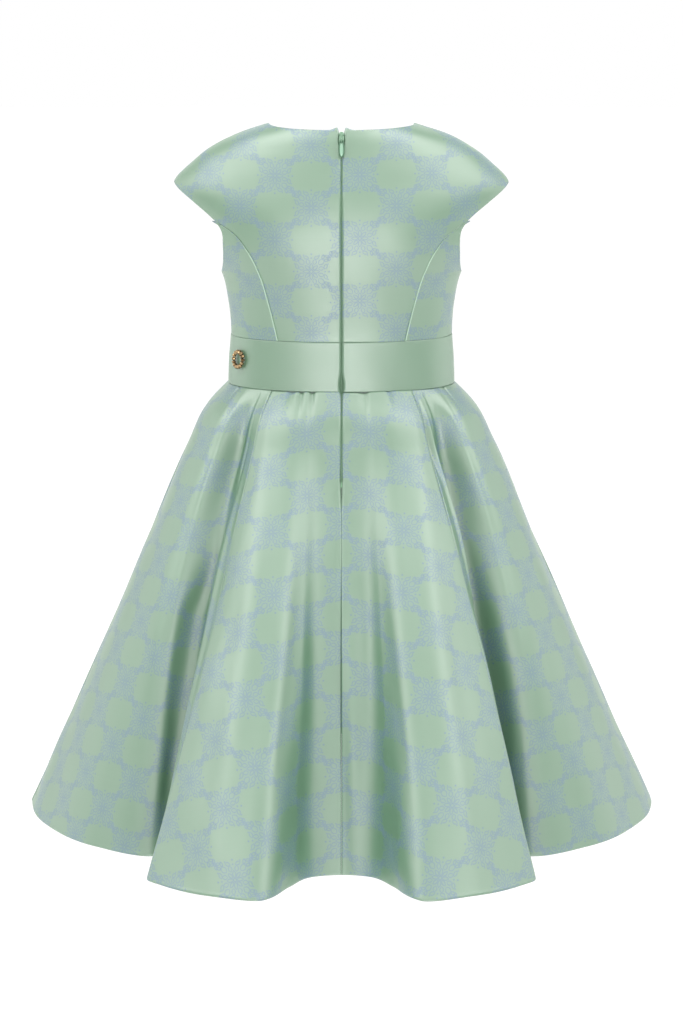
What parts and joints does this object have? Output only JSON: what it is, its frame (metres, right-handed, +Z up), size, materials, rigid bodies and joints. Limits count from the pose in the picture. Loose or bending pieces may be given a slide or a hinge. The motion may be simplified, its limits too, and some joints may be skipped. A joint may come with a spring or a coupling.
{
  "type": "child's jacquard dress",
  "caption": "Child's fit-and-flare dress in green jacquard, with cap sleeves, a satin waistband, a back zip and a full flared skirt.",
  "frame": {"origin": "midway between the two neck points of the shoulder seams, where the dress hangs from the wearer's shoulders", "axes": "+Z up, +Y the way the wearer faces, so the zipped back looks to -Y; +X to the wearer's right"},
  "size_m": [0.604, 0.6661, 0.6589],
  "materials": {
    "satin_jacquard": "light green satin with a lilac-blue woven lace-like motif",
    "plain_satin": "plain light green satin",
    "zip_tape": "woven polyester tape with a fine nylon coil",
    "green_enamel": "light green enamel on zinc",
    "gold_beads": "small facetted beads, old gold"
  },
  "bodies": {
    "dress": {"bodice_centre_back_left": "satin_jacquard", "bodice_centre_back_right": "satin_jacquard", "bodice_centre_front": "satin_jacquard", "bodice_side_back_left": "satin_jacquard", "bodice_side_back_right": "satin_jacquard", "bodice_side_front_left": "satin_jacquard", "bodice_side_front_right": "satin_jacquard", "waistband_back_left": "plain_satin", "waistband_back_right": "plain_satin", "waistband_front": "plain_satin", "skirt_back_left": "satin_jacquard", "skirt_back_right": "satin_jacquard", "skirt_side_back_left": "satin_jacquard", "skirt_side_back_right": "satin_jacquard", "skirt_side_front_left": "satin_jacquard", "skirt_side_front_right": "satin_jacquard", "skirt_front": "satin_jacquard", "zip_tape": "zip_tape", "zip_slider": "green_enamel", "bead_ring": "gold_beads"},
    "pull_tab": {"zip_pull": "green_enamel"}
  },
  "joints": [
    {"name": "pull_swing", "type": "hinge", "parent": "dress", "child": "pull_tab", "pos_m": [0, -0.06461, -0.01139], "axis": [-1, 0, 0], "range_deg": [0, 160]}
  ]
}
